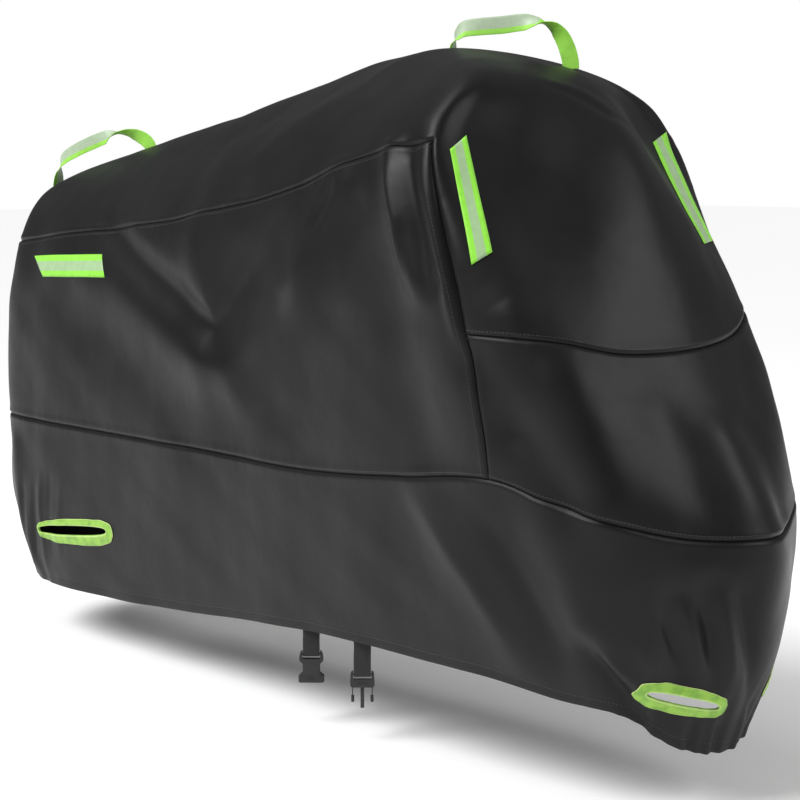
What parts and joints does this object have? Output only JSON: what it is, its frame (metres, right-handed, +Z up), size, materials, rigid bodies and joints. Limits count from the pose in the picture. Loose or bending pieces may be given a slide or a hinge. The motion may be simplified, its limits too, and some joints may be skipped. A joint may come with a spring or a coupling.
{
  "type": "fitted motorcycle cover",
  "caption": "Fitted cloth cover shaped for a motorcycle, open below, with reflective strips, webbing loops on its ridge, bound lock holes and a belly strap with a side release buckle.",
  "frame": {"origin": "the mount that holds the cover up, on the inner face of its hood at the highest part of the ridge", "axes": "+X from the tail to the nose, along the longest extent; +Y to the left of the vehicle; +Z up, away from the mount"},
  "size_m": [2.0139, 0.6378, 1.1946],
  "materials": {
    "cloth": "coated dark grey cloth with a soft sheen",
    "reflective_tape": "lime tape with a silver middle",
    "loop_tape": "lime webbing with a silver band",
    "binding_tape": "lime binding tape with pale edges",
    "strap_webbing": "black woven webbing",
    "buckle_plastic": "black moulded plastic"
  },
  "bodies": {
    "root": {"hood": "cloth", "side_panel_right": "cloth", "side_panel_left": "cloth", "front_panel": "cloth", "skirt": "cloth", "strip_side_right": "reflective_tape", "strip_side_left": "reflective_tape", "strip_front_right": "reflective_tape", "strip_front_left": "reflective_tape", "binding_front_right": "binding_tape", "binding_front_left": "binding_tape", "binding_rear_right": "binding_tape", "binding_rear_left": "binding_tape", "loop_front": "loop_tape", "loop_rear": "loop_tape", "strap_socket": "strap_webbing", "strap_plug": "strap_webbing", "buckle_socket": "buckle_plastic", "buckle_plug": "buckle_plastic"}
  },
  "joints": []
}
